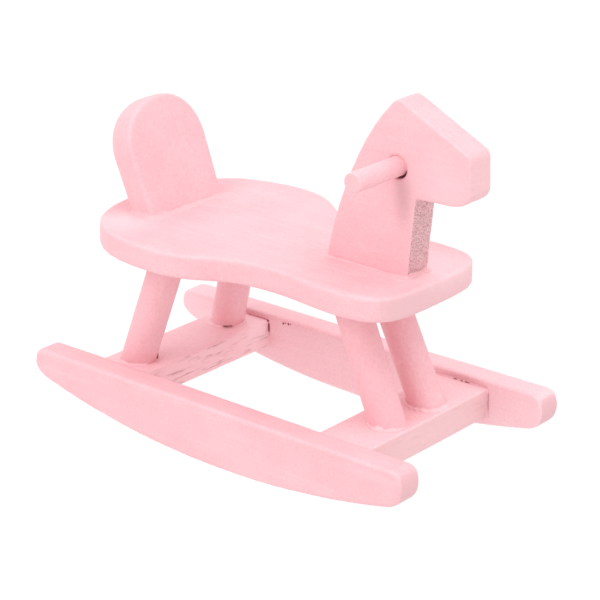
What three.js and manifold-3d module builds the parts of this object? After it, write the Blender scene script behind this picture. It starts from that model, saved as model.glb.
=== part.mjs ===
// Miniature rocking horse: flat boards and round dowel, glued together and painted.
// Millimetres, +X towards the head, +Y to the horse's left, +Z up.
// The origin is on the ground, under the middle of the rockers.
import * as THREE from 'three';
import { mergeVertices } from 'three/addons/utils/BufferGeometryUtils.js';
import Module from 'manifold-3d';

const wasm = await Module();
wasm.setup();

// Driving dimensions
const GLUE_GAP = 0.05;          // between any two pieces that meet
const EDGE_ROUND = 0.6;         // softened board edges
const CURVE_STEPS = 10;
const DOWEL_SIDES = 28;

const ROCKER_LENGTH = 88.4;
const ROCKER_THICKNESS = 5.2;
const ROCKER_INNER_Y = 17.6;
const ROCKER_TOP = 11.4;
const ROCKER_RADIUS = 173;      // radius of the curved underside
const ROCKER_LOW_X = 2.5;       // the underside touches the ground here
const ROCKER_NOSE_Z = 8.4;      // height of the outermost point of each blunt end
const ROCKER_NOSE_TOP = 2.4;    // run of the end's upper round
const ROCKER_NOSE_LOW = 3.6;    // run of the end's lower round
const HOUSING_DEPTH = 1.2;      // how far a cross board is let into each rocker

const BOARD_WIDTH = 11.6;
const BOARD_THICKNESS = 5.45;
const BOARD_TOP = { front: 9.9, rear: 10.1 };
const BOARD_X = { front: 26.4, rear: -26.65 };

// The seat and what stands on it share a frame with its origin on the seat's top.
const SEAT_HEIGHT = 37.05;
const SEAT_PITCH = THREE.MathUtils.degToRad(1);     // slopes down towards the head
const SEAT_THICKNESS = 4.6;
const SEAT = {                     // spread: how much fuller the left side is sawn
  rear: { x: -37.2, pull: 15.5 },
  lobe: { x: -15.5, y: 21, spread: 1.3, pullRear: 13.4, pullFront: 12.5 },
  waist: { x: 9.2, y: 14.1, spread: -0.4, pullRear: 14, pullFront: 5 },
  chest: { x: 23.5, y: 15.2, spread: 0.3, pullRear: 5, pullFront: 10.5 },
  front: { x: 34.1, pull: 10.6 },
};

const LEG_RADIUS = 3.25;
const SOCKET_CLEARANCE = 0.05;
const SEAT_SOCKET_DEPTH = 2.4;
const BOARD_SOCKET_DEPTH = 2.8;
const LEGS = {
  front: { hip: [18.2, 4.9], foot: [27.7, 5.6] },
  rear: { hip: [-19.3, 10.1], foot: [-26.9, 12.35] },
};

const BACKREST_X = -24.3;       // front face, where it meets the seat
const BACKREST_LEAN = THREE.MathUtils.degToRad(21.9);
const BACKREST_FOOT = 9.4;       // half widths at the seat and at the shoulder
const BACKREST_SHOULDER = 9.8;
const BACKREST_STRAIGHT = 12.4;  // slope length below the round top
const BACKREST_PEAK = [0.6, 21.8];
const BACKREST_ROUNDNESS = 0.58; // pull of the round top's curves
const BACKREST_THICKNESS = 5.3;

const HEAD_THICKNESS = 5.8;
const HEAD = {
  neckBack: [11.7, GLUE_GAP],
  neckFront: [29.7, GLUE_GAP],
  throat: [31.2, 14.75],
  jaw: [37.1, 15],
  chin: [41.8, 15.1],
  lip: [42.5, 17.7],
  noseLow: [42.4, 23.2],
  nose: [42.4, 24.15],
  noseTop: [41.6, 24.65],
  brow: [27.9, 31.2],
  poll: [26.9, 31.65],
  crest: [25.8, 30.6],
  napeHigh: [18.9, 23.4],
  napeLow: [13.7, 10.9],
};

const HANDLE_RADIUS = 1.8;
const HANDLE_LENGTH = 29.2;
const HANDLE_HOLE_RADIUS = 2.1;
const HANDLE_HOLE = [27.1, 19.55];     // centre of the drilled hole, X and Z
const HANDLE_SHIFT = [-0.15, 0.15];    // the dowel is glued off centre in its hole

const PIN_RADIUS = 1;
const PIN_SEAT_DEPTH = 2.8;
const PIN_BOARD_DEPTH = 4.2;
const HEAD_PIN_X = { rear: 15.8, front: 25.5 };
const BACKREST_PIN_Y = 4.8;

const SIDES = { left: 1, right: -1 };

// Materials
const painted = () => new THREE.MeshStandardMaterial({ color: 0xfbc8ce, roughness: 0.55, metalness: 0 });
const bareWood = () => new THREE.MeshStandardMaterial({ color: 0xd9b98a, roughness: 0.8, metalness: 0 });

// A closed solid for joining and cutting, made from a geometry placed by a matrix.
function toSolid(geometry, matrix) {
  const bare = geometry.clone().applyMatrix4(matrix);
  bare.deleteAttribute('normal');
  bare.deleteAttribute('uv');
  const merged = mergeVertices(bare);
  return new wasm.Manifold(new wasm.Mesh({
    numProp: 3,
    vertProperties: new Float32Array(merged.attributes.position.array),
    triVerts: new Uint32Array(merged.index.array),
  }));
}

function toGeometry(solid) {
  const { vertProperties, triVerts } = solid.getMesh();
  const geometry = new THREE.BufferGeometry();
  geometry.setAttribute('position', new THREE.BufferAttribute(vertProperties, 3));
  geometry.setIndex(new THREE.BufferAttribute(triVerts, 1));
  geometry.computeVertexNormals();
  return geometry;
}

// Cuts the tools out of a piece. Both stay where their own placing puts them.
function carve(piece, tools) {
  piece.updateWorldMatrix(true, false);
  const toPiece = piece.matrixWorld.clone().invert();
  let solid = toSolid(piece.geometry, new THREE.Matrix4());
  for (const tool of tools) {
    tool.updateWorldMatrix(true, false);
    solid = solid.subtract(toSolid(tool.geometry, toPiece.clone().multiply(tool.matrixWorld)));
  }
  piece.geometry = toGeometry(solid);
  return piece;
}

function namedMesh(name, geometry, material) {
  const mesh = new THREE.Mesh(geometry, material);
  mesh.name = name;
  return mesh;
}

// A flat board cut to an outline, with softened edges, centred on its own thickness.
function board(name, outline, thickness, edge = EDGE_ROUND) {
  const geometry = new THREE.ExtrudeGeometry(outline, {
    depth: thickness - 2 * edge,
    bevelThickness: edge,
    bevelSize: edge,
    bevelOffset: -edge,
    bevelSegments: 3,
    curveSegments: CURVE_STEPS,
  });
  geometry.translate(0, 0, edge - thickness / 2);
  return namedMesh(name, geometry, painted());
}

// A round rod between two points, square at both ends.
function rod(name, radius, from, to, material) {
  const start = new THREE.Vector3(...from);
  const span = new THREE.Vector3(...to).sub(start);
  const mesh = namedMesh(name, new THREE.CylinderGeometry(radius, radius, span.length(), DOWEL_SIDES), material);
  mesh.position.copy(start).addScaledVector(span, 0.5);
  mesh.quaternion.setFromUnitVectors(new THREE.Vector3(0, 1, 0), span.normalize());
  return mesh;
}

// A cutting tool placed where a piece is.
function toolAt(piece, geometry) {
  piece.updateWorldMatrix(true, false);
  const tool = new THREE.Mesh(geometry);
  tool.applyMatrix4(piece.matrixWorld);
  return tool;
}

// The drill that makes a rod's hole: wider by the clearance, and a little deeper at both ends.
function drillFor(rodMesh) {
  const { radiusTop, height } = rodMesh.geometry.parameters;
  const radius = radiusTop + SOCKET_CLEARANCE;
  return toolAt(rodMesh, new THREE.CylinderGeometry(radius, radius, height + 4 * SOCKET_CLEARANCE, DOWEL_SIDES));
}

// Seat: one board sawn to a figure with a wide rear, a waist and a blunt chest.
function seatOutline() {
  const { rear, lobe, waist, chest, front } = SEAT;
  const shape = new THREE.Shape();
  shape.moveTo(front.x, 0);
  for (const side of [1, -1]) {
    const [lobeY, waistY, chestY] = [lobe, waist, chest].map((part) => halfWidth(part, side));
    const curves = [
      [front.x, front.pull, chest.x + chest.pullFront, chestY, chest.x, chestY],
      [chest.x - chest.pullRear, chestY, waist.x + waist.pullFront, waistY, waist.x, waistY],
      [waist.x - waist.pullRear, waistY, lobe.x + lobe.pullFront, lobeY, lobe.x, lobeY],
      [lobe.x - lobe.pullRear, lobeY, rear.x, rear.pull, rear.x, 0],
    ];
    const walk = side > 0 ? curves : backwards(curves, [front.x, 0]);
    for (const [ax, ay, bx, by, x, y] of walk) {
      shape.bezierCurveTo(ax, side * ay, bx, side * by, x, side * y);
    }
  }
  return shape;
}

function halfWidth(part, side) {
  return side > 0 ? part.y + part.spread : part.y;
}

// The same chain of Bezier curves, walked from its last point back to its start.
function backwards(curves, start) {
  const ends = [start, ...curves.map((curve) => curve.slice(4))];
  return curves
    .map(([ax, ay, bx, by], i) => [bx, by, ax, ay, ...ends[i]])
    .reverse();
}

function makeSeat() {
  const seat = board('seat', seatOutline(), SEAT_THICKNESS);
  seat.position.z = -SEAT_THICKNESS / 2;
  return seat;
}

// Rocker: straight along the top, a long arc below, blunt rounded ends.
function rockerOutline() {
  const end = ROCKER_LENGTH / 2;
  const low = end - ROCKER_NOSE_LOW;
  const angleAt = (x) => Math.asin((x - ROCKER_LOW_X) / ROCKER_RADIUS) - Math.PI / 2;
  const arcZ = (x) => ROCKER_RADIUS * (1 + Math.sin(angleAt(x)));
  const shape = new THREE.Shape();
  shape.moveTo(-end + ROCKER_NOSE_TOP, ROCKER_TOP);
  shape.quadraticCurveTo(-end, ROCKER_TOP, -end, ROCKER_NOSE_Z);
  shape.quadraticCurveTo(-end, arcZ(-end), -low, arcZ(-low));
  shape.absarc(ROCKER_LOW_X, ROCKER_RADIUS, ROCKER_RADIUS, angleAt(-low), angleAt(low), false);
  shape.quadraticCurveTo(end, arcZ(end), end, ROCKER_NOSE_Z);
  shape.quadraticCurveTo(end, ROCKER_TOP, end - ROCKER_NOSE_TOP, ROCKER_TOP);
  return shape;
}

function makeRocker(name, side) {
  const rocker = board(`rocker_${name}`, rockerOutline(), ROCKER_THICKNESS);
  rocker.rotation.x = Math.PI / 2;
  rocker.position.y = side * (ROCKER_INNER_Y + ROCKER_THICKNESS / 2);
  return rocker;
}

// Cross board: a plain bar from rocker to rocker, its ends let into both.
function makeCrossBoard(name) {
  const length = 2 * (ROCKER_INNER_Y + HOUSING_DEPTH - GLUE_GAP);
  const bar = namedMesh(`cross_board_${name}`,
    new THREE.BoxGeometry(BOARD_WIDTH, length, BOARD_THICKNESS), painted());
  bar.position.set(BOARD_X[name], 0, BOARD_TOP[name] - BOARD_THICKNESS / 2);
  return bar;
}

function housingFor(bar) {
  const { width, height, depth } = bar.geometry.parameters;
  return toolAt(bar, new THREE.BoxGeometry(
    width + 2 * GLUE_GAP, height + 2 * GLUE_GAP, depth + 2 * GLUE_GAP));
}

// Leg: a dowel from a blind socket in a cross board to one under the seat.
function makeLeg(name, sideName, upper) {
  const side = SIDES[sideName];
  const { hip, foot } = LEGS[name];
  const top = upper.localToWorld(new THREE.Vector3(hip[0], side * hip[1], -SEAT_THICKNESS));
  const base = new THREE.Vector3(foot[0], side * foot[1], BOARD_TOP[name]);
  const along = top.clone().sub(base).normalize();
  top.addScaledVector(along, SEAT_SOCKET_DEPTH);
  base.addScaledVector(along, -BOARD_SOCKET_DEPTH);
  return rod(`leg_${name}_${sideName}`, LEG_RADIUS, base.toArray(), top.toArray(), painted());
}

// Backrest: a round-topped board that leans back, with its foot cut level to sit on the seat.
function makeBackrest() {
  const below = BACKREST_THICKNESS;
  const shape = new THREE.Shape();
  const [peakX, peakY] = BACKREST_PEAK;
  const rise = BACKREST_ROUNDNESS * (peakY - BACKREST_STRAIGHT);
  const run = BACKREST_ROUNDNESS * BACKREST_SHOULDER;
  const shoulder = [BACKREST_SHOULDER, BACKREST_STRAIGHT + rise];
  shape.moveTo(-BACKREST_FOOT, -below);
  shape.lineTo(BACKREST_FOOT, -below);
  shape.lineTo(BACKREST_FOOT, 0);
  shape.lineTo(BACKREST_SHOULDER, BACKREST_STRAIGHT);
  shape.bezierCurveTo(...shoulder, peakX + run, peakY, peakX, peakY);
  shape.bezierCurveTo(peakX - run, peakY, -shoulder[0], shoulder[1], -BACKREST_SHOULDER, BACKREST_STRAIGHT);
  shape.lineTo(-BACKREST_FOOT, 0);
  const backrest = board('backrest', shape, BACKREST_THICKNESS);
  const slope = new THREE.Vector3(...slopeDirection());
  const across = new THREE.Vector3(0, 1, 0);
  const forward = across.clone().cross(slope);
  backrest.quaternion.setFromRotationMatrix(new THREE.Matrix4().makeBasis(across, slope, forward));
  backrest.position.set(BACKREST_X, 0, 0).addScaledVector(forward, -BACKREST_THICKNESS / 2);
  return backrest;
}

function slopeDirection() {
  return [-Math.sin(BACKREST_LEAN), 0, Math.cos(BACKREST_LEAN)];
}

// Everything from a little above the seat's top down, wide enough to trim any board's foot.
function levelCut() {
  const reach = ROCKER_LENGTH;
  const block = new THREE.Mesh(new THREE.BoxGeometry(reach, reach, reach));
  block.position.z = GLUE_GAP - reach / 2;
  return block;
}

// Head and neck: one board, with a drilled hole for the handle.
function headOutline() {
  const shape = new THREE.Shape();
  shape.moveTo(...HEAD.neckBack);
  shape.lineTo(...HEAD.neckFront);
  shape.lineTo(...HEAD.throat);
  shape.lineTo(...HEAD.jaw);
  shape.quadraticCurveTo(...HEAD.chin, ...HEAD.lip);
  shape.lineTo(...HEAD.noseLow);
  shape.quadraticCurveTo(...HEAD.nose, ...HEAD.noseTop);
  shape.lineTo(...HEAD.brow);
  shape.quadraticCurveTo(...HEAD.poll, ...HEAD.crest);
  shape.bezierCurveTo(...HEAD.napeHigh, ...HEAD.napeLow, ...HEAD.neckBack);
  return shape;
}

function makeHead() {
  const head = board('head', headOutline(), HEAD_THICKNESS, EDGE_ROUND / 2);
  head.rotation.x = Math.PI / 2;
  return head;
}

function handleRod(name, radius, length, [x, z]) {
  return rod(name, radius, [x, -length / 2, z], [x, length / 2, z], painted());
}

// Hidden dowel pins that hold the head and the backrest on the seat.
function headPin(name) {
  const x = HEAD_PIN_X[name];
  return rod(`head_pin_${name}`, PIN_RADIUS,
    [x, 0, -PIN_SEAT_DEPTH], [x, 0, PIN_BOARD_DEPTH], bareWood());
}

function backrestPin(sideName) {
  const slope = new THREE.Vector3(...slopeDirection());
  const middle = BACKREST_X - BACKREST_THICKNESS / 2 / Math.cos(BACKREST_LEAN);
  const foot = new THREE.Vector3(middle, SIDES[sideName] * BACKREST_PIN_Y, 0);
  const low = foot.clone().addScaledVector(slope, -PIN_SEAT_DEPTH);
  const high = foot.clone().addScaledVector(slope, PIN_BOARD_DEPTH);
  return rod(`backrest_pin_${sideName}`, PIN_RADIUS, low.toArray(), high.toArray(), bareWood());
}

// Assembly
const horse = new THREE.Group();
const upper = new THREE.Group();
upper.position.z = SEAT_HEIGHT;
upper.rotation.y = SEAT_PITCH;
horse.add(upper);

const sideNames = Object.keys(SIDES);
const seat = makeSeat();
const head = makeHead();
const backrest = makeBackrest();
const headPins = Object.keys(HEAD_PIN_X).map(headPin);
const backrestPins = sideNames.map(backrestPin);
const handleAt = HANDLE_HOLE.map((value, i) => value + HANDLE_SHIFT[i]);
const handle = handleRod('handle', HANDLE_RADIUS, HANDLE_LENGTH, handleAt);
const handleDrill = handleRod('handle_drill', HANDLE_HOLE_RADIUS, HANDLE_LENGTH, HANDLE_HOLE);
const seatTopCut = levelCut();
upper.add(seat, head, backrest, handle, ...headPins, ...backrestPins);
upper.add(handleDrill, seatTopCut);

const legs = Object.keys(LEGS).flatMap((name) => sideNames.map((side) => makeLeg(name, side, upper)));
const crossBoards = Object.keys(BOARD_X).map(makeCrossBoard);
const rockers = sideNames.map((name) => makeRocker(name, SIDES[name]));
horse.add(...legs, ...crossBoards, ...rockers);

const legDrills = legs.map(drillFor);
const headPinDrills = headPins.map(drillFor);
const backrestPinDrills = backrestPins.map(drillFor);
const housings = crossBoards.map(housingFor);
carve(seat, [...legDrills, ...headPinDrills, ...backrestPinDrills]);
carve(head, [handleDrill, ...headPinDrills]);
carve(backrest, [seatTopCut, ...backrestPinDrills]);
for (const bar of crossBoards) carve(bar, legDrills);
for (const rocker of rockers) carve(rocker, housings);
upper.remove(handleDrill, seatTopCut);

export default horse;
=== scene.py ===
"""Looks of a miniature rocking horse: thick satin paint over sawn board and dowel."""
import math

import bmesh
import bpy
import numpy as np
from mathutils import Matrix, Vector, noise


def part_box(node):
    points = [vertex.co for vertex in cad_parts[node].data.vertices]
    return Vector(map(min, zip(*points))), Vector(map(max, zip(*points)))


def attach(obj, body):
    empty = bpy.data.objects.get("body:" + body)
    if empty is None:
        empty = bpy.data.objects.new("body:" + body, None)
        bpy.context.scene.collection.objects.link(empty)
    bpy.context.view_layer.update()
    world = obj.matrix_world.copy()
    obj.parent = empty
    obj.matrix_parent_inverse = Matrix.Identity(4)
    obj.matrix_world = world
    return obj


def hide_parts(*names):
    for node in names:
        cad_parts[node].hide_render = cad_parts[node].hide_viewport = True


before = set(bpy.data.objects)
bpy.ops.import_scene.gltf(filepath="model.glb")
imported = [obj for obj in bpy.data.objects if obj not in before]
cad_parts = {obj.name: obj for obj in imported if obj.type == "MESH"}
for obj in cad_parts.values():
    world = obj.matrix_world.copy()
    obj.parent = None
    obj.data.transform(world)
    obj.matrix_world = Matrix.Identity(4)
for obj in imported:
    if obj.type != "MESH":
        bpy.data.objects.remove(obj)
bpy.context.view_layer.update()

MM = 0.001
BODY = "root"

# Relief of the painted surface in the mesh: size of its features, and depth
WAVE_SIZE, WAVE_DEPTH = 11 * MM, 0.06 * MM
RIPPLE_SIZE, RIPPLE_DEPTH = 2.2 * MM, 0.025 * MM
GRAIN_WIDTH, GRAIN_LENGTH, GRAIN_DEPTH = 0.9 * MM, 9 * MM, 0.02 * MM
PIT_WIDTH, PIT_LENGTH, PIT_DEPTH = 0.5 * MM, 2 * MM, 0.05 * MM
PIT_RISE = 0.1                     # between pits the surface rises by this share of their depth
END_START, END_FADE = 0.7, 0.2     # how squarely a face has to cross the fibres to be pitted
SEED_SHIFT = (7.3, 3.1, 5.7)       # how far apart in the noise two seeds are, along x, y and z

# Size of the mesh's faces, and how often it is smoothed
COARSE_MESH = {"voxel": 0.3 * MM, "smoothing": 5}
FINE_MESH = {"voxel": 0.2 * MM, "smoothing": 8}
FINE_FAMILIES = ("head", "handle")

# Patterns in the paint: scale per metre, and the values of the noise between which each fades in
CLOUD_SCALE, CLOUD_RANGE = 110, (0.3, 0.75)
PEEL_SCALE, MOTTLE_RANGE = 2100, (0.35, 0.7)
BRUSH_SCALE, BRUSH_RANGE = 900, (0.45, 0.75)
PORE_SCALE, PORE_RANGE = 3600, (0.5, 0.66)
FIBRE_SCALE, FIBRE_RANGE = 2600, (0.55, 0.68)
DIMPLE_SCALE = 800
DOWEL_SCALE = 2200
GRIT_SCALE = 3000
BRUSH_STRETCH, FIBRE_STRETCH = 0.05, 0.06
TEAR_SCALE, TEAR_DEPTH = 900, 0.35
PATCH_RANGE = (1.1, 0.2)

# Where a surface counts as a sawn end, a ridge or a crease
END_RANGE = (0.7, 0.93)
RIDGE_RANGE = (0.51, 0.56)
CREASE_RANGE = (0.485, 0.44)

# How strongly the patterns colour the paint, and its gloss
# The first two: strength of the painted highlight on ridges and of the painted shade in creases
RIDGE_HIGHLIGHT = 0.3
CREASE_SHADE = 0.3
MOTTLE = 0.13
PALE_SHARE = 0.08
GLOSSY, DULL = 0.40, 0.62
PAINT_IOR = 1.46
BARE_ROUGHNESS = 0.8
GAP_ROUGHNESS = 0.9

# Bump in the materials: depth, and strength
DIMPLE_BUMP = (0.16 * MM, 0.6)
PEEL_BUMP = (0.07 * MM, 0.9)
WEAR_BUMP = (0.08 * MM, 1.0)
DOWEL_BUMP = (0.05 * MM, 0.6)
BRUSH_BUMP_DEPTH = 0.05 * MM

# Colours, linear
PINK = (0.90, 0.485, 0.525)
# Paler pink: painted light on the front cross board, the left rocker, the rings on the boards and
# the seat behind the backrest; also the paler muzzle and the handle's ends
PINK_PALER = (0.94, 0.58, 0.62)
# Paler pink of the handle
PINK_HANDLE = (0.92, 0.53, 0.57)
PINK_END = (0.82, 0.49, 0.52)
PINK_PALER_END = (0.84, 0.52, 0.54)
PINK_ROCKER_END = (0.79, 0.455, 0.485)
# Paler pink of the rear cross board: painted light, a lighter copy of the paint in place of light
# that reaches it
PINK_REAR_LIT = (0.97, 0.63, 0.67)
PINK_REAR_LIT_END = (0.95, 0.60, 0.63)
# Palest pink: painted light, on the seat ahead of the neck and at the rear board's left end
PINK_PAINTED_LIGHT = (0.99, 0.72, 0.76)
PINK_NECK_END = (0.79, 0.48, 0.50)
# Dark pink: painted shadow of the handle, and painted shade under the seat and above the cross
# boards
PINK_PAINTED_SHADE = (0.60, 0.30, 0.33)
# Pale pink of brush strokes, and painted highlights along ridges
PINK_STROKE_AND_HIGHLIGHT = (0.98, 0.66, 0.70)
# Deep pink of mottle, pores and furrows, and painted shade in creases
PINK_DEEP_AND_CREASE_SHADE = (0.55, 0.16, 0.20)
# Near black: painted shade inside gaps, and the dark of nicks
DARK_GAP_SHADE = (0.06, 0.015, 0.02)
BARE_WOOD = (0.62, 0.42, 0.24)
BARE_WOOD_DARK = (0.42, 0.26, 0.13)

# Plain paint; a family of pieces changes some of it. A sawn end is pitted below a height in
# metres, which here is above every piece.
PLAIN_PAINT = {
    "tone": PINK,
    "end_tone": PINK_END,
    "pitted_tone": PINK_END,
    "brushed": 0.1,
    "speckle": 0.0,
    "furrows": 0.0,
    "pitted_below": 1.0,
    "pitted_behind": True,
    # how strongly ridges take a painted highlight and creases painted shade
    "edges": 1.0,
    "patches": (),
}

# Above this height the front of the head is smooth; below it is open end grain
NECK_TOP = 51 * MM

# Soft patches of another colour, most of them painted shadow, shade and light: offset from a
# corner or middle and size, in mm, and strength
PATCHES = {
    # Painted shadow of the handle, down the right side of the head
    "painted_shadow_below_handle": {"colour": PINK_PAINTED_SHADE, "offset": (1.5, 0, -3.6), "size": (3, 1.2, 8),
                          "strength": 0.55},
    "pale_muzzle": {"colour": PINK_PALER, "offset": (-6, 0, -12), "size": (14, 14, 12),
                    "strength": 0.5},
    # Painted shade at the top of the front legs, under the seat
    "painted_shade_leg_top": {"colour": PINK_PAINTED_SHADE, "offset": (4, 0, 0), "size": (9, 14, 8),
                     "strength": 0.65},
    # Painted light on the seat top, ahead of the neck
    "painted_light_seat_front": {"colour": PINK_PAINTED_LIGHT, "offset": (-8, 4, 0), "size": (18, 15, 6),
                        "strength": 0.8},
    # Painted light on the seat top, behind the backrest
    "painted_light_seat_rear": {"colour": PINK_PALER, "offset": (9, -13, 0), "size": (10, 9, 3),
                       "strength": 0.8},
    # Painted shade on the rocker's inner side, just above a cross board
    "painted_shade_above_board": {"colour": PINK_PAINTED_SHADE, "offset": (0, 0, 0.8), "size": (10, 0.9, 1.3),
                         "strength": 0.5},
    # Painted light at the rear board's left end
    "painted_light_board_end": {"colour": PINK_PAINTED_LIGHT, "offset": (0, -4, -1), "size": (9, 9, 7),
                       "strength": 0.9},
}

# Paint gathered along the joints: a ring around each joint
JOINT_STEP = 0.22 * MM             # from one of its stations to the next
JOINT_BURIED = 0.25 * MM           # how deep its hidden sides lie
JOINT_FACETS = 5
JOINT_LIFT = 0.15 * MM             # the outline is taken this far off the plane
JOINT_LEVELS = (0.2 * MM, 1.7 * MM)
JOINT_THINNEST = 0.02 * MM
OUTLINE_AVERAGED = 2
WELD_DISTANCE = 0.001 * MM
FLAT_AGREEMENT = 0.97              # how closely a face has to face a direction to be a flat
FLAT_STEP = 0.02 * MM

# How uneven a ring is: share and size of the bumps in its width, twice, and in its height
JOINT_NOISE = ((0.35, 1.9 * MM), (0.3, 0.8 * MM), (0.3, 1.3 * MM))

# Each ring's width. The section is hollow with a bulge above 1 and round with one below. A
# spot, where the ring is wider or thinner, is (direction, sharpness, added width).
LEG_FEET = {
    "leg_front_left": {"width": 0.75 * MM, "bulge": 0.5, "spots": [((-1, -1, 0), 10, -0.3 * MM)]},
    "leg_front_right": {"width": 0.5 * MM, "bulge": 1.8,
                        "spots": [((0.2, -1, 0), 30, 0.5 * MM), ((0.9, -0.6, 0), 30, 0.4 * MM)]},
    "leg_rear_left": {"width": 0.5 * MM, "bulge": 0.7, "spots": [((0.8, -0.7, 0), 20, -0.9 * MM)]},
    "leg_rear_right": {"width": 0.5 * MM, "bulge": 0.8, "spots": [((1, 0.2, 0), 14, -0.9 * MM)]},
}
LEG_TOP = {"width": 0.4 * MM}
BOARD_END = {"width": 0.3 * MM}
BOARD_SPOTS = {
    ("rear", "left"): [((1, 0, 0.2), 60, -0.9 * MM), ((0.7, 0, 1), 10, -0.6 * MM)],
    ("front", "left"): [((1, 0, 0), 8, -0.3 * MM)],
}
NECK_FOOT = {"width": 0.45 * MM,
             "spots": [((1, -0.25, 0), 60, 0.5 * MM), ((1, 0.3, 0), 80, 0.4 * MM)]}
BACKREST_FOOT = {"width": 0.9 * MM, "spots": [((0.25, -1, 0), 30, 0.6 * MM)]}
HANDLE_HOLE = {"width": 0.5 * MM, "spots": [((0.57, 0, -0.82), 5, -1.2 * MM)]}
HOLE_FILL_DEPTH = 0.4 * MM
SEEDS = {"leg_foot": 10, "leg_top": 20, "neck": 31, "backrest": 32, "board": 40, "handle": 50}

# Dark spots: painted shade in the gaps where the cross boards meet the left rocker, and nicks that
# the paint never reached. On the left rocker's inner side: place along X and up from the board's
# top front corner, then half the length and height, in mm
VOIDS = {
    "rear": [(0.2, -1.4, 0.34, 0.8), (-0.1, -0.1, 0.3, 0.2), (4.0, 0.35, 0.2, 0.24),
             (4.5, 0.5, 0.14, 0.12), (5.3, 0.5, 0.2, 0.26), (5.8, 0.62, 0.12, 0.1)],
    "front": [(-7.2, 0.12, 0.5, 0.1), (-5.8, 0.1, 0.35, 0.08), (-4.6, 0.14, 0.6, 0.1)],
}
VOID_DEPTH = 0.12 * MM
VOID_TEAR, VOID_TEAR_SCALE = 0.5, 1.7
VOID_SEED_SHIFT = 4.1

# Painted shade in the slot at the foot of a rear leg: bearing from +X in degrees, height above the
# board, then half the width and height, in mm
LEG_VOIDS = {
    "leg_rear_left": (-49, 0.3, 0.95, 0.08),
    "leg_rear_right": (38, 0.75, 0.2, 0.75),
}
LEG_VOID_DEPTH = 0.25 * MM
LEG_VOID_REACH = 3.35 * MM

# Camera: the angle the horse is seen from, and how far away
CAMERA_AZIMUTH = 41.09
CAMERA_ELEVATION = 21.13
CAMERA_ROLL = -0.86
CAMERA_DISTANCE = 397.2 * MM
CAMERA_AIM = Vector((1.77, 1.26, 24.78)) * MM
CAMERA_LENS = 131.1
SENSOR_WIDTH = 36

# Light: a white room, a key from the horse's right and a fill from ahead and above
ROOM_LIGHT = 1.0
KEY_LIGHT = {"azimuth": -12, "elevation": 42, "power": 0.93, "size": 0.4}
FILL_LIGHT = {"azimuth": 110, "elevation": 65, "power": 0.98, "size": 0.4}
LIGHT_DISTANCE = 0.6

# Floor: half its side in metres, its own grey and how white it glows
FLOOR_REACH = 4.0
FLOOR_GREY = 0.03
FLOOR_GLOW = 1.0


# ---------------------------------------------------------------- materials

def new_material(name):
    material = bpy.data.materials.new(name)
    material.use_nodes = True
    tree = material.node_tree
    return material, tree, tree.nodes["Principled BSDF"]


def add_node(tree, kind, **values):
    """A node with its properties, and its inputs by name where the name starts with a capital."""
    node = tree.nodes.new(kind)
    for key, value in values.items():
        if key[0].isupper():
            node.inputs[key].default_value = value
        else:
            setattr(node, key, value)
    return node


def own_coordinates(tree):
    return add_node(tree, "ShaderNodeTexCoord").outputs["Object"]


def noise_field(tree, coordinates, scale, detail=3, roughness=0.55):
    node = add_node(tree, "ShaderNodeTexNoise", Scale=scale, Detail=detail, Roughness=roughness)
    tree.links.new(coordinates, node.inputs["Vector"])
    return node.outputs["Fac"]


def stretched(tree, coordinates, axis, factor):
    """Coordinates squeezed along an axis, so that noise becomes long streaks."""
    scale = [1.0, 1.0, 1.0]
    scale[axis] = factor
    mapping = add_node(tree, "ShaderNodeMapping", Scale=scale)
    tree.links.new(coordinates, mapping.inputs["Vector"])
    return mapping.outputs["Vector"]


def ramp(tree, value, span):
    """0 at the first end of the span, 1 at the second, smooth between."""
    node = add_node(tree, "ShaderNodeMapRange", interpolation_type="SMOOTHSTEP")
    node.inputs["From Min"].default_value, node.inputs["From Max"].default_value = span
    tree.links.new(value, node.inputs["Value"])
    return node.outputs["Result"]


def math_node(tree, operation, first, second):
    node = add_node(tree, "ShaderNodeMath", operation=operation)
    for socket, value in zip(node.inputs, (first, second)):
        if isinstance(value, (int, float)):
            socket.default_value = value
        else:
            tree.links.new(value, socket)
    return node.outputs["Value"]


def vector_node(tree, operation, first, second):
    """A vector operation whose second value is fixed."""
    node = add_node(tree, "ShaderNodeVectorMath", operation=operation)
    tree.links.new(first, node.inputs[0])
    node.inputs[1].default_value = second
    return node


def mix_colour(tree, factor, first, second):
    node = add_node(tree, "ShaderNodeMix", data_type="RGBA")
    sockets = (node.inputs["Factor"], node.inputs[6], node.inputs[7])
    for socket, value in zip(sockets, (factor, first, second)):
        if isinstance(value, bpy.types.NodeSocket):
            tree.links.new(value, socket)
        else:
            socket.default_value = (*value, 1)
    return node.outputs[2]


def bump(tree, height, distance, strength, normal=None):
    node = add_node(tree, "ShaderNodeBump", Strength=strength, Distance=distance)
    tree.links.new(height, node.inputs["Height"])
    if normal:
        tree.links.new(normal, node.inputs["Normal"])
    return node.outputs["Normal"]


def facing(tree, direction, both=True):
    """1 where the surface faces along a direction, or either way along it, 0 elsewhere."""
    normal = add_node(tree, "ShaderNodeTexCoord").outputs["Normal"]
    share = vector_node(tree, "DOT_PRODUCT", normal, direction).outputs["Value"]
    if both:
        share = math_node(tree, "ABSOLUTE", share, 0)
    return ramp(tree, share, END_RANGE)


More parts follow.
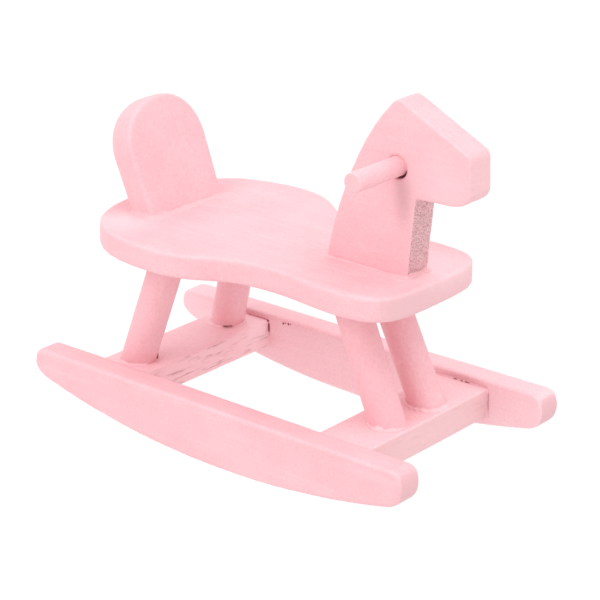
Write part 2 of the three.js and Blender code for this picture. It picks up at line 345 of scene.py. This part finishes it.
def pitted_skin(tree, place, look):
    """Masks of the sawn ends, of their open grain, and of the pores and furrows in it."""
    ends = facing(tree, look["end_grain"])
    open_ends = facing(tree, look["end_grain"], both=look["pitted_behind"])
    height = add_node(tree, "ShaderNodeSeparateXYZ")
    tree.links.new(place, height.inputs["Vector"])
    span = (look["pitted_below"] + MM, look["pitted_below"] - MM)
    rough = math_node(tree, "MULTIPLY", open_ends, ramp(tree, height.outputs["Z"], span))

    pores = noise_field(tree, place, PORE_SCALE, detail=3, roughness=0.7)
    specks = math_node(tree, "MULTIPLY", ramp(tree, pores, PORE_RANGE), rough)
    along = stretched(tree, place, look["grain"], FIBRE_STRETCH)
    fibres = noise_field(tree, along, FIBRE_SCALE, detail=5, roughness=0.7)
    lines = math_node(tree, "MULTIPLY", ramp(tree, fibres, FIBRE_RANGE), rough)
    worn_specks = math_node(tree, "MULTIPLY", specks, look["speckle"])
    worn_lines = math_node(tree, "MULTIPLY", lines, look["furrows"])
    return ends, rough, math_node(tree, "MAXIMUM", worn_specks, worn_lines)


def patch_mask(tree, place, middle, size, strength):
    """A soft oval patch in space, torn at its edge by noise."""
    offset = vector_node(tree, "SUBTRACT", place, middle).outputs["Vector"]
    scaled = vector_node(tree, "DIVIDE", offset, size).outputs["Vector"]
    length = add_node(tree, "ShaderNodeVectorMath", operation="LENGTH")
    tree.links.new(scaled, length.inputs[0])
    torn = math_node(tree, "MULTIPLY", noise_field(tree, place, TEAR_SCALE), TEAR_DEPTH)
    reach = math_node(tree, "ADD", length.outputs["Value"], torn)
    return math_node(tree, "MULTIPLY", ramp(tree, reach, PATCH_RANGE), strength)


def paint_shade(tree, place, look, peel, brush):
    """The paint's colour, clouded, mottled and brushed."""
    cloud = noise_field(tree, place, CLOUD_SCALE, detail=2)
    mottle = math_node(tree, "MULTIPLY", ramp(tree, peel, MOTTLE_RANGE), MOTTLE)
    strokes = math_node(tree, "MULTIPLY", ramp(tree, brush, BRUSH_RANGE), look["brushed"])
    pale = tuple(c + PALE_SHARE * (1 - c) for c in look["tone"])
    shade = mix_colour(tree, ramp(tree, cloud, CLOUD_RANGE), look["tone"], pale)
    shade = mix_colour(tree, mottle, shade, PINK_DEEP_AND_CREASE_SHADE)
    return mix_colour(tree, strokes, shade, PINK_STROKE_AND_HIGHLIGHT)


def edge_highlight_and_shade(tree, shade, edges):
    """The colour made paler along ridges, a painted highlight, and deeper in creases, painted
    shade.
    """
    pointed = add_node(tree, "ShaderNodeNewGeometry").outputs["Pointiness"]
    ridge = math_node(tree, "MULTIPLY", ramp(tree, pointed, RIDGE_RANGE), RIDGE_HIGHLIGHT * edges)
    crease = math_node(tree, "MULTIPLY", ramp(tree, pointed, CREASE_RANGE), CREASE_SHADE * edges)
    shade = mix_colour(tree, ridge, shade, PINK_STROKE_AND_HIGHLIGHT)
    return mix_colour(tree, crease, shade, PINK_DEEP_AND_CREASE_SHADE)


def paint_gloss(tree, peel):
    """Roughness that varies with the orange peel of the paint."""
    gloss = add_node(tree, "ShaderNodeMapRange")
    gloss.inputs["To Min"].default_value = GLOSSY
    gloss.inputs["To Max"].default_value = DULL
    tree.links.new(peel, gloss.inputs["Value"])
    return gloss.outputs["Result"]


def paint_relief(tree, place, look, peel, brush, wear):
    """Dimples, orange peel, brush strokes, and sunk pores and furrows."""
    dimple = noise_field(tree, place, DIMPLE_SCALE, detail=2)
    normal = bump(tree, dimple, *DIMPLE_BUMP)
    normal = bump(tree, peel, *PEEL_BUMP, normal)
    normal = bump(tree, brush, BRUSH_BUMP_DEPTH, look["brushed"], normal)
    return bump(tree, math_node(tree, "SUBTRACT", 1, wear), *WEAR_BUMP, normal)


def painted_wood(name, look):
    """Thick satin paint over wood whose fibres run along one axis and end on some faces."""
    material, tree, shader = new_material(name)
    place = own_coordinates(tree)
    peel = noise_field(tree, place, PEEL_SCALE, detail=4, roughness=0.6)
    along = stretched(tree, place, look["grain"], BRUSH_STRETCH)
    brush = noise_field(tree, along, BRUSH_SCALE, detail=4, roughness=0.7)
    ends, rough, wear = pitted_skin(tree, place, look)

    shade = paint_shade(tree, place, look, peel, brush)
    shade = mix_colour(tree, ends, shade, look["end_tone"])
    shade = mix_colour(tree, rough, shade, look["pitted_tone"])
    shade = mix_colour(tree, wear, shade, PINK_DEEP_AND_CREASE_SHADE)
    shade = edge_highlight_and_shade(tree, shade, look["edges"])
    # Patches: painted shadow, painted shade and painted light, and the paler muzzle
    for colour, middle, size, strength in look["patches"]:
        shade = mix_colour(tree, patch_mask(tree, place, middle, size, strength), shade, colour)

    normal = paint_relief(tree, place, look, peel, brush, wear)
    tree.links.new(shade, shader.inputs["Base Color"])
    tree.links.new(paint_gloss(tree, peel), shader.inputs["Roughness"])
    tree.links.new(normal, shader.inputs["Normal"])
    shader.inputs["IOR"].default_value = PAINT_IOR
    return material


def bare_dowel():
    """Unpainted dowel of the hidden pins."""
    material, tree, shader = new_material("bare_dowel")
    along = stretched(tree, own_coordinates(tree), 2, BRUSH_STRETCH)
    fibres = noise_field(tree, along, DOWEL_SCALE, detail=4)
    colour = mix_colour(tree, fibres, BARE_WOOD, BARE_WOOD_DARK)
    tree.links.new(colour, shader.inputs["Base Color"])
    shader.inputs["Roughness"].default_value = BARE_ROUGHNESS
    tree.links.new(bump(tree, fibres, *DOWEL_BUMP), shader.inputs["Normal"])
    return material


def gap_shade_and_nicks():
    """Painted shade inside gaps, and the dark of nicks."""
    material, tree, shader = new_material("gap_shade_and_nicks")
    grit = noise_field(tree, own_coordinates(tree), GRIT_SCALE)
    tree.links.new(mix_colour(tree, grit, DARK_GAP_SHADE, PINK_DEEP_AND_CREASE_SHADE), shader.inputs["Base Color"])
    shader.inputs["Roughness"].default_value = GAP_ROUGHNESS
    return material


# ------------------------------------------------------------------- meshes

def add_piece(name, mesh, material):
    piece = bpy.data.objects.new(name, mesh)
    bpy.context.scene.collection.objects.link(piece)
    mesh.materials.clear()
    mesh.materials.append(material)
    mesh.shade_smooth()
    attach(piece, BODY)
    return piece


def without_holes(mesh):
    """Makes a mesh its own convex hull: a plain block for a board drilled from end to end."""
    shape = bmesh.new()
    shape.from_mesh(mesh)
    hull = bmesh.ops.convex_hull(shape, input=shape.verts[:])
    inner = hull["geom_interior"] + hull["geom_unused"]
    bmesh.ops.delete(shape, geom=[e for e in inner if isinstance(e, bmesh.types.BMVert)])
    old = set(shape.faces) - {e for e in hull["geom"] if isinstance(e, bmesh.types.BMFace)}
    bmesh.ops.delete(shape, geom=list(old), context="FACES_ONLY")
    shape.to_mesh(mesh)
    shape.free()


def remeshed(source, voxel, smoothing, filled):
    """A copy of an object's mesh, rebuilt in even small faces with its edges softened."""
    work = bpy.data.objects.new("work", source.data.copy())
    work.data.transform(source.matrix_world)
    if filled:
        without_holes(work.data)
    bpy.context.scene.collection.objects.link(work)
    remesh = work.modifiers.new("remesh", "REMESH")
    remesh.mode = "VOXEL"
    remesh.voxel_size = voxel
    smooth = work.modifiers.new("smooth", "SMOOTH")
    smooth.iterations = smoothing
    depsgraph = bpy.context.evaluated_depsgraph_get()
    mesh = bpy.data.meshes.new_from_object(work.evaluated_get(depsgraph))
    bpy.data.objects.remove(work)
    return mesh


def read_vectors(mesh, what):
    values = np.empty(len(mesh.vertices) * 3)
    mesh.vertices.foreach_get(what, values)
    return values.reshape(-1, 3)


def field(points, size, seed):
    """Smooth noise about 0 at each point, with features of that size along x, y and z."""
    shift = Vector([seed * step for step in SEED_SHIFT])
    places = points / np.asarray(size)
    return np.array([noise.noise(Vector(p) + shift) for p in places])


def along_grain(axis, width, length):
    """Sizes along x, y and z: the length along the grain, the width across it."""
    sizes = np.full(3, width)
    sizes[axis] = length
    return sizes


def hand_finish(mesh, seed, grain, end_grain):
    """Uneven sanding, brushed paint, raised grain, and pits where the fibres end."""
    points = read_vectors(mesh, "co")
    normals = read_vectors(mesh, "normal")
    height = WAVE_DEPTH * field(points, WAVE_SIZE, seed)
    height += RIPPLE_DEPTH * field(points, RIPPLE_SIZE, seed + 1)
    height += GRAIN_DEPTH * field(points, along_grain(grain, GRAIN_WIDTH, GRAIN_LENGTH), seed + 2)
    ends = np.clip((np.abs(normals @ np.array(end_grain)) - END_START) / END_FADE, 0, 1)
    pits = field(points, along_grain(grain, PIT_WIDTH, PIT_LENGTH), seed + 3)
    height += PIT_DEPTH * ends * np.minimum(pits, PIT_RISE)
    mesh.vertices.foreach_set("co", (points + normals * height[:, None]).ravel())
    mesh.update()


def coated(node, finish, detail, filled):
    """A CAD piece under its coats of paint, which takes the CAD node's place."""
    mesh = remeshed(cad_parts[node], filled=filled, **detail)
    hand_finish(mesh, len(node) + ord(node[-1]), finish["grain"], finish["end_grain"])
    piece = add_piece(f"{node}_painted", mesh, finish["material"])
    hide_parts(node)


# ----------------------------------------------------- paint along the joints

def face_plane(node, direction):
    """Middle and normal of a CAD piece's largest flat that faces that way."""
    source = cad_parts[node]
    matrix = source.matrix_world
    flats = {}
    for face in source.data.polygons:
        normal = matrix.to_3x3() @ face.normal
        if normal.dot(direction) < FLAT_AGREEMENT:
            continue
        key = round((matrix @ face.center).dot(normal) / FLAT_STEP)
        flats.setdefault(key, []).append((face.area, matrix @ face.center, normal))
    faces = max(flats.values(), key=lambda group: sum(area for area, _, _ in group))
    total = sum(area for area, _, _ in faces)
    middle = sum((centre * area for area, centre, _ in faces), Vector()) / total
    return middle, faces[0][2].normalized()


def joint_outline(node, plane, lift):
    """Even points around a CAD piece's skin where it crosses a plane, raised by the lift."""
    point, normal = plane
    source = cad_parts[node]
    shape = bmesh.new()
    shape.from_mesh(source.data)
    shape.transform(source.matrix_world)
    bmesh.ops.remove_doubles(shape, verts=shape.verts[:], dist=WELD_DISTANCE)
    everything = shape.verts[:] + shape.edges[:] + shape.faces[:]
    place = point + normal * lift
    cut = bmesh.ops.bisect_plane(shape, geom=everything, plane_co=place, plane_no=normal)
    edges = {e for e in cut["geom_cut"] if isinstance(e, bmesh.types.BMEdge)}
    lines = []
    while edges:
        lines.append([vertex.co.copy() for vertex in walk(edges)])
    shape.free()
    longest = max(lines, key=lambda line: sum((a - b).length for a, b in zip(line, line[1:])))
    return averaged(evenly(longest, JOINT_STEP), OUTLINE_AVERAGED)


def walk(edges):
    """Takes one closed chain of edges out of the set and gives its vertices in order."""
    edge = edges.pop()
    chain = list(edge.verts)
    while True:
        edge = next((e for e in chain[-1].link_edges if e in edges), None)
        if edge is None:
            return chain[:-1] if chain[0] == chain[-1] else chain
        edges.remove(edge)
        chain.append(edge.other_vert(chain[-1]))


def evenly(places, step):
    """A closed line's points again, an even step apart."""
    line = np.array([*places, places[0]])
    run = np.concatenate([[0], np.cumsum(np.linalg.norm(np.diff(line, axis=0), axis=1))])
    stops = np.linspace(0, run[-1], int(run[-1] / step), endpoint=False)
    return np.stack([np.interp(stops, run, line[:, k]) for k in range(3)], axis=1)


def unit(vectors):
    return vectors / np.linalg.norm(vectors, axis=1)[:, None]


def averaged(values, times):
    """A closed row of points, each averaged with its neighbours."""
    for _ in range(times):
        values = (np.roll(values, 1, axis=0) + 2 * values + np.roll(values, -1, axis=0)) / 4
    return values


def outward_of(points, normal):
    """Directions in the plane, away from the outline at each of its points."""
    forward = np.roll(points, -1, axis=0) - np.roll(points, 1, axis=0)
    outward = unit(np.cross(forward, normal))
    if ((points - points.mean(axis=0)) * outward).sum() < 0:
        return -outward
    return outward


def joint_axis(node, plane):
    """The way a piece's skin leaves the plane, from its outlines near and further off it."""
    near, far = (joint_outline(node, plane, lift).mean(axis=0) for lift in JOINT_LEVELS)
    return (far - near) / (JOINT_LEVELS[1] - JOINT_LEVELS[0])


def joint_section(bulge):
    """Section of the paint as shares of its width and height; -1 is under the surface."""
    curve = [(s**bulge, (1 - s) ** bulge) for s in np.linspace(0, 1, JOINT_FACETS + 1)]
    return [(-1, 1), *curve, (1, -1), (-1, -1)]


def joint_reach(points, width, spots):
    """Width of the paint at each point, changed at the spots."""
    reach = width
    bearing = unit(points - points.mean(axis=0))
    for direction, sharpness, extra in spots:
        near = np.clip(bearing @ np.array(Vector(direction).normalized()), 0, 1)
        reach = reach + extra * near**sharpness
    return np.maximum(reach, JOINT_THINNEST)


def paint_joint(node, plane, finish, seed, width, bulge=2.0, spots=()):
    """A ring of the paint that gathered where a piece meets a plane."""
    normal = np.array(plane[1])
    points = joint_outline(node, plane, JOINT_LIFT) - normal * JOINT_LIFT
    outward = outward_of(points, normal)
    axis = joint_axis(node, plane)
    upward = axis / abs(axis @ normal)
    coarse, fine, tall = (share * field(points, size, seed + i)
                          for i, (share, size) in enumerate(JOINT_NOISE))
    reach = joint_reach(points, width * (1 + coarse + fine), spots)
    height = reach * (1 + tall)
    rows = []
    for across, above in joint_section(bulge):
        out = np.where(across < 0, -JOINT_BURIED, across * reach)
        up = np.where(above < 0, -JOINT_BURIED, above * height)
        rows.append(points + outward * out[:, None] + upward * up[:, None])
    add_piece(f"paint_{node}_{seed}", ring_mesh(np.array(rows)), finish["material"])


def ring_mesh(rows):
    """Closed mesh through rows of points that each run once around."""
    count, stations, _ = rows.shape
    faces = []
    for row in range(count):
        here, there = row * stations, (row + 1) % count * stations
        for i in range(stations):
            j = (i + 1) % stations
            faces.append((here + i, here + j, there + j, there + i))
    mesh = bpy.data.meshes.new("ring")
    mesh.from_pydata(rows.reshape(-1, 3).tolist(), [], faces)
    shape = bmesh.new()
    shape.from_mesh(mesh)
    bmesh.ops.recalc_face_normals(shape, faces=shape.faces)
    shape.to_mesh(mesh)
    shape.free()
    return mesh


# ----------------------------------------------------------------- finishes

def patch(kind, x, y, z):
    """A patch of that kind, set off from a point: its colour, middle, size and strength."""
    look = PATCHES[kind]
    middle = Vector((x, y, z)) + Vector(look["offset"]) * MM
    return look["colour"], middle, Vector(look["size"]) * MM, look["strength"]


def head_patches():
    """A painted shadow of the handle below it, on the right side, and the paler muzzle."""
    handle_low, handle_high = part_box("handle")
    head_low, head_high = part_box("head")
    handle_x = (handle_low[0] + handle_high[0]) / 2
    return [
        patch("painted_shadow_below_handle", handle_x, head_low[1], handle_low[2]),
        patch("pale_muzzle", head_high[0], 0, head_high[2]),
    ]


def leg_patches():
    """Painted shade at the top of the front legs, close under the seat."""
    leg_low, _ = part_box("leg_front_left")
    seat_low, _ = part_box("seat")
    return [patch("painted_shade_leg_top", leg_low[0], 0, seat_low[2])]


def seat_patches():
    """Painted light on the seat's top, ahead of the neck and beside the backrest."""
    low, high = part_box("seat")
    return [
        patch("painted_light_seat_front", high[0], 0, high[2]),
        patch("painted_light_seat_rear", low[0], 0, high[2]),
    ]


def rocker_patches(wall):
    """Painted shade in the corner above each cross board, on the rocker's inner side."""
    patches = []
    for end in ("front", "rear"):
        low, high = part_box(f"cross_board_{end}")
        patches.append(patch("painted_shade_above_board", (low[0] + high[0]) / 2, wall, high[2]))
    return patches


def rear_board_patches():
    """Painted light, the palest pink, at the rear board's left end."""
    _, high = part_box("cross_board_rear")
    return [patch("painted_light_board_end", *high)]


def finishes():
    """How each family of pieces is painted, and how its grain runs."""
    x, y, z = (1, 0, 0), (0, 1, 0), (0, 0, 1)
    left_wall, right_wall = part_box("rocker_left")[0][1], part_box("rocker_right")[1][1]
    rocker = {"grain": 0, "end_grain": x, "end_tone": PINK_ROCKER_END,
              "pitted_tone": PINK_ROCKER_END}
    # The cross boards take paler pinks: painted light, lighter copies of the paint in place of
    # light that reaches them
    front = {"tone": PINK_PALER, "end_tone": PINK_PALER_END, "pitted_tone": PINK_PALER_END}
    rear = {"tone": PINK_REAR_LIT, "end_tone": PINK_REAR_LIT_END, "pitted_tone": PINK_REAR_LIT_END}
    neck = {"pitted_tone": PINK_NECK_END, "speckle": 0.8, "pitted_below": NECK_TOP,
            "pitted_behind": False, "patches": head_patches()}
    joint = {"grain": 0, "end_grain": z, "edges": 0.1}
    families = {
        "seat": {"grain": 0, "end_grain": x, "brushed": 0.2, "patches": seat_patches()},
        "head": {"grain": 0, "end_grain": x, **neck},
        # The left rocker's paler pink is painted light
        "rocker_left": {"tone": PINK_PALER, "brushed": 0.3, "patches": rocker_patches(left_wall),
                        **rocker},
        "rocker_right": {"brushed": 0.2, "patches": rocker_patches(right_wall), **rocker},
        "cross_board_front": {"grain": 1, "end_grain": x, "furrows": 0.15, **front},
        "cross_board_rear": {"grain": 1, "end_grain": x, "furrows": 0.6,
                             "patches": rear_board_patches(), **rear},
        "backrest": {"grain": 2, "end_grain": z},
        "leg": {"grain": 2, "end_grain": z, "patches": leg_patches()},
        "handle": {"grain": 1, "end_grain": y, "tone": PINK_HANDLE, "end_tone": PINK_PALER_END},
        "joint": {"end_tone": PINK, **joint},
        # Paint rings on the boards take the boards' paler pink, painted light
        "board_joint": {"tone": PINK_PALER, "end_tone": PINK_PALER, **joint},
    }
    for family, values in families.items():
        values["material"] = painted_wood(f"paint_on_{family}", {**PLAIN_PAINT, **values})
    return families


# ------------------------------------------------------------------- pieces

def is_pin(node):
    return "_pin_" in node


def paint_pieces(families):
    for node in sorted(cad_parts):
        if is_pin(node):
            continue
        family = next(name for name in families if node.startswith(name))
        detail = FINE_MESH if family in FINE_FAMILIES else COARSE_MESH
        coated(node, families[family], detail, filled=node.startswith("cross_board"))


def paint_leg_joints(families):
    up = Vector((0, 0, 1))
    seat_under = face_plane("seat", -up)
    for i, (leg, foot) in enumerate(LEG_FEET.items()):
        _, end, _ = leg.split("_")
        board_top = face_plane(f"cross_board_{end}", up)
        paint_joint(leg, board_top, families["board_joint"], SEEDS["leg_foot"] + i, **foot)
        paint_joint(leg, seat_under, families["joint"], SEEDS["leg_top"] + i, **LEG_TOP)


def paint_board_joints(families):
    for i, end in enumerate(("front", "rear")):
        for side, inward in (("left", -1), ("right", 1)):
            wall = face_plane(f"rocker_{side}", Vector((0, inward, 0)))
            seed = SEEDS["board"] + 2 * i + inward
            spots = BOARD_SPOTS.get((end, side), ())
            paint_joint(f"cross_board_{end}", wall, families["board_joint"], seed,
                        spots=spots, **BOARD_END)


def paint_upper_joints(families):
    joint = families["joint"]
    seat_top = face_plane("seat", Vector((0, 0, 1)))
    paint_joint("head", seat_top, joint, SEEDS["neck"], **NECK_FOOT)
    paint_joint("backrest", seat_top, joint, SEEDS["backrest"], **BACKREST_FOOT)
    for outward in (-1, 1):
        middle, normal = face_plane("head", Vector((0, outward, 0)))
        sunk = (middle - normal * HOLE_FILL_DEPTH, normal)
        paint_joint("handle", sunk, joint, SEEDS["handle"] + outward, **HANDLE_HOLE)


def paint_void(name, place, size, seed, material, bearing=90):
    """A small torn dark patch on a wall that faces that bearing: painted shade in a gap, and in
    places a nick the paint never reached.
    """
    shape = bmesh.new()
    bmesh.ops.create_icosphere(shape, subdivisions=3, radius=1)
    shift = Vector((seed * VOID_SEED_SHIFT, 0, 0))
    for vertex in shape.verts:
        torn = 1 + VOID_TEAR * noise.noise(vertex.co * VOID_TEAR_SCALE + shift)
        vertex.co = Vector(c * torn * s for c, s in zip(vertex.co, size))
    mesh = bpy.data.meshes.new(name)
    shape.to_mesh(mesh)
    shape.free()
    turn = Matrix.Rotation(math.radians(bearing - 90), 4, "Z")
    mesh.transform(Matrix.Translation(place) @ turn)
    add_piece(name, mesh, material)


def paint_rocker_voids(material):
    """Painted shade in the gaps along the left rocker where the cross boards are let into it, and
    nicks there.
    """
    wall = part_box("rocker_left")[0][1]
    for end, spots in VOIDS.items():
        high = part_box(f"cross_board_{end}")[1]
        for i, (along, above, length, height) in enumerate(spots):
            place = Vector((high[0] + along * MM, wall, high[2] + above * MM))
            size = (length * MM, VOID_DEPTH, height * MM)
            paint_void(f"void_{end}_{i}", place, size, i, material)


def paint_leg_voids(material):
    """Painted shade in the slots where the paint bridged the foot of a rear leg."""
    board_top = face_plane("cross_board_rear", Vector((0, 0, 1)))
    for seed, (leg, (bearing, above, width, height)) in enumerate(LEG_VOIDS.items()):
        middle = Vector(joint_outline(leg, board_top, above * MM).mean(axis=0))
        angle = math.radians(bearing)
        place = middle + Vector((math.cos(angle), math.sin(angle), 0)) * LEG_VOID_REACH
        size = (width * MM, LEG_VOID_DEPTH, height * MM)
        paint_void(f"void_{leg}", place, size, seed, material, bearing)


def dress_pins():
    material = bare_dowel()
    for name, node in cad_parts.items():
        if is_pin(name):
            node.data.materials.clear()
            node.data.materials.append(material)


# -------------------------------------------------------- floor, light, view

def make_floor():
    r = FLOOR_REACH
    mesh = bpy.data.meshes.new("floor")
    mesh.from_pydata([(-r, -r, 0), (r, -r, 0), (r, r, 0), (-r, r, 0)], [], [(0, 1, 2, 3)])
    floor = bpy.data.objects.new("floor", mesh)
    bpy.context.scene.collection.objects.link(floor)
    material, _, shader = new_material("floor_white")
    shader.inputs["Base Color"].default_value = (FLOOR_GREY, FLOOR_GREY, FLOOR_GREY, 1)
    shader.inputs["Specular IOR Level"].default_value = 0
    shader.inputs["Emission Color"].default_value = (1, 1, 1, 1)
    shader.inputs["Emission Strength"].default_value = FLOOR_GLOW
    mesh.materials.append(material)


def towards(azimuth, elevation):
    """The direction out from the horse at those angles, in degrees."""
    a, e = math.radians(azimuth), math.radians(elevation)
    return Vector((math.sin(a) * math.cos(e), -math.cos(a) * math.cos(e), math.sin(e)))


def make_light(name, azimuth, elevation, power, size):
    """A square soft light, aimed at the horse's middle."""
    data = bpy.data.lights.new(name, "AREA")
    data.shape = "SQUARE"
    data.size = size
    data.energy = power
    light = bpy.data.objects.new(name, data)
    away = towards(azimuth, elevation)
    light.location = CAMERA_AIM + away * LIGHT_DISTANCE
    light.rotation_euler = away.to_track_quat("Z", "Y").to_euler()
    bpy.context.scene.collection.objects.link(light)


def make_lights():
    world = bpy.data.worlds.new("studio")
    world.use_nodes = True
    background = world.node_tree.nodes["Background"]
    background.inputs["Color"].default_value = (1, 1, 1, 1)
    background.inputs["Strength"].default_value = ROOM_LIGHT
    bpy.context.scene.world = world
    make_light("key", **KEY_LIGHT)
    make_light("fill", **FILL_LIGHT)
    bpy.context.scene.view_settings.view_transform = "Standard"


def make_camera():
    away = towards(CAMERA_AZIMUTH, CAMERA_ELEVATION)
    level = Vector((0, 0, 1)).cross(away).normalized()
    upright = away.cross(level)
    roll = math.radians(CAMERA_ROLL)
    right = level * math.cos(roll) + upright * math.sin(roll)
    up = upright * math.cos(roll) - level * math.sin(roll)
    data = bpy.data.cameras.new("camera")
    data.lens = CAMERA_LENS
    data.sensor_width = SENSOR_WIDTH
    camera = bpy.data.objects.new("camera", data)
    camera.matrix_world = Matrix((right, up, away)).transposed().to_4x4()
    camera.location = CAMERA_AIM + away * CAMERA_DISTANCE
    bpy.context.scene.collection.objects.link(camera)
    bpy.context.scene.camera = camera


make_camera()
make_lights()
make_floor()
paints = finishes()
paint_pieces(paints)
paint_leg_joints(paints)
paint_board_joints(paints)
paint_upper_joints(paints)
gap = gap_shade_and_nicks()
paint_rocker_voids(gap)
paint_leg_voids(gap)
dress_pins()
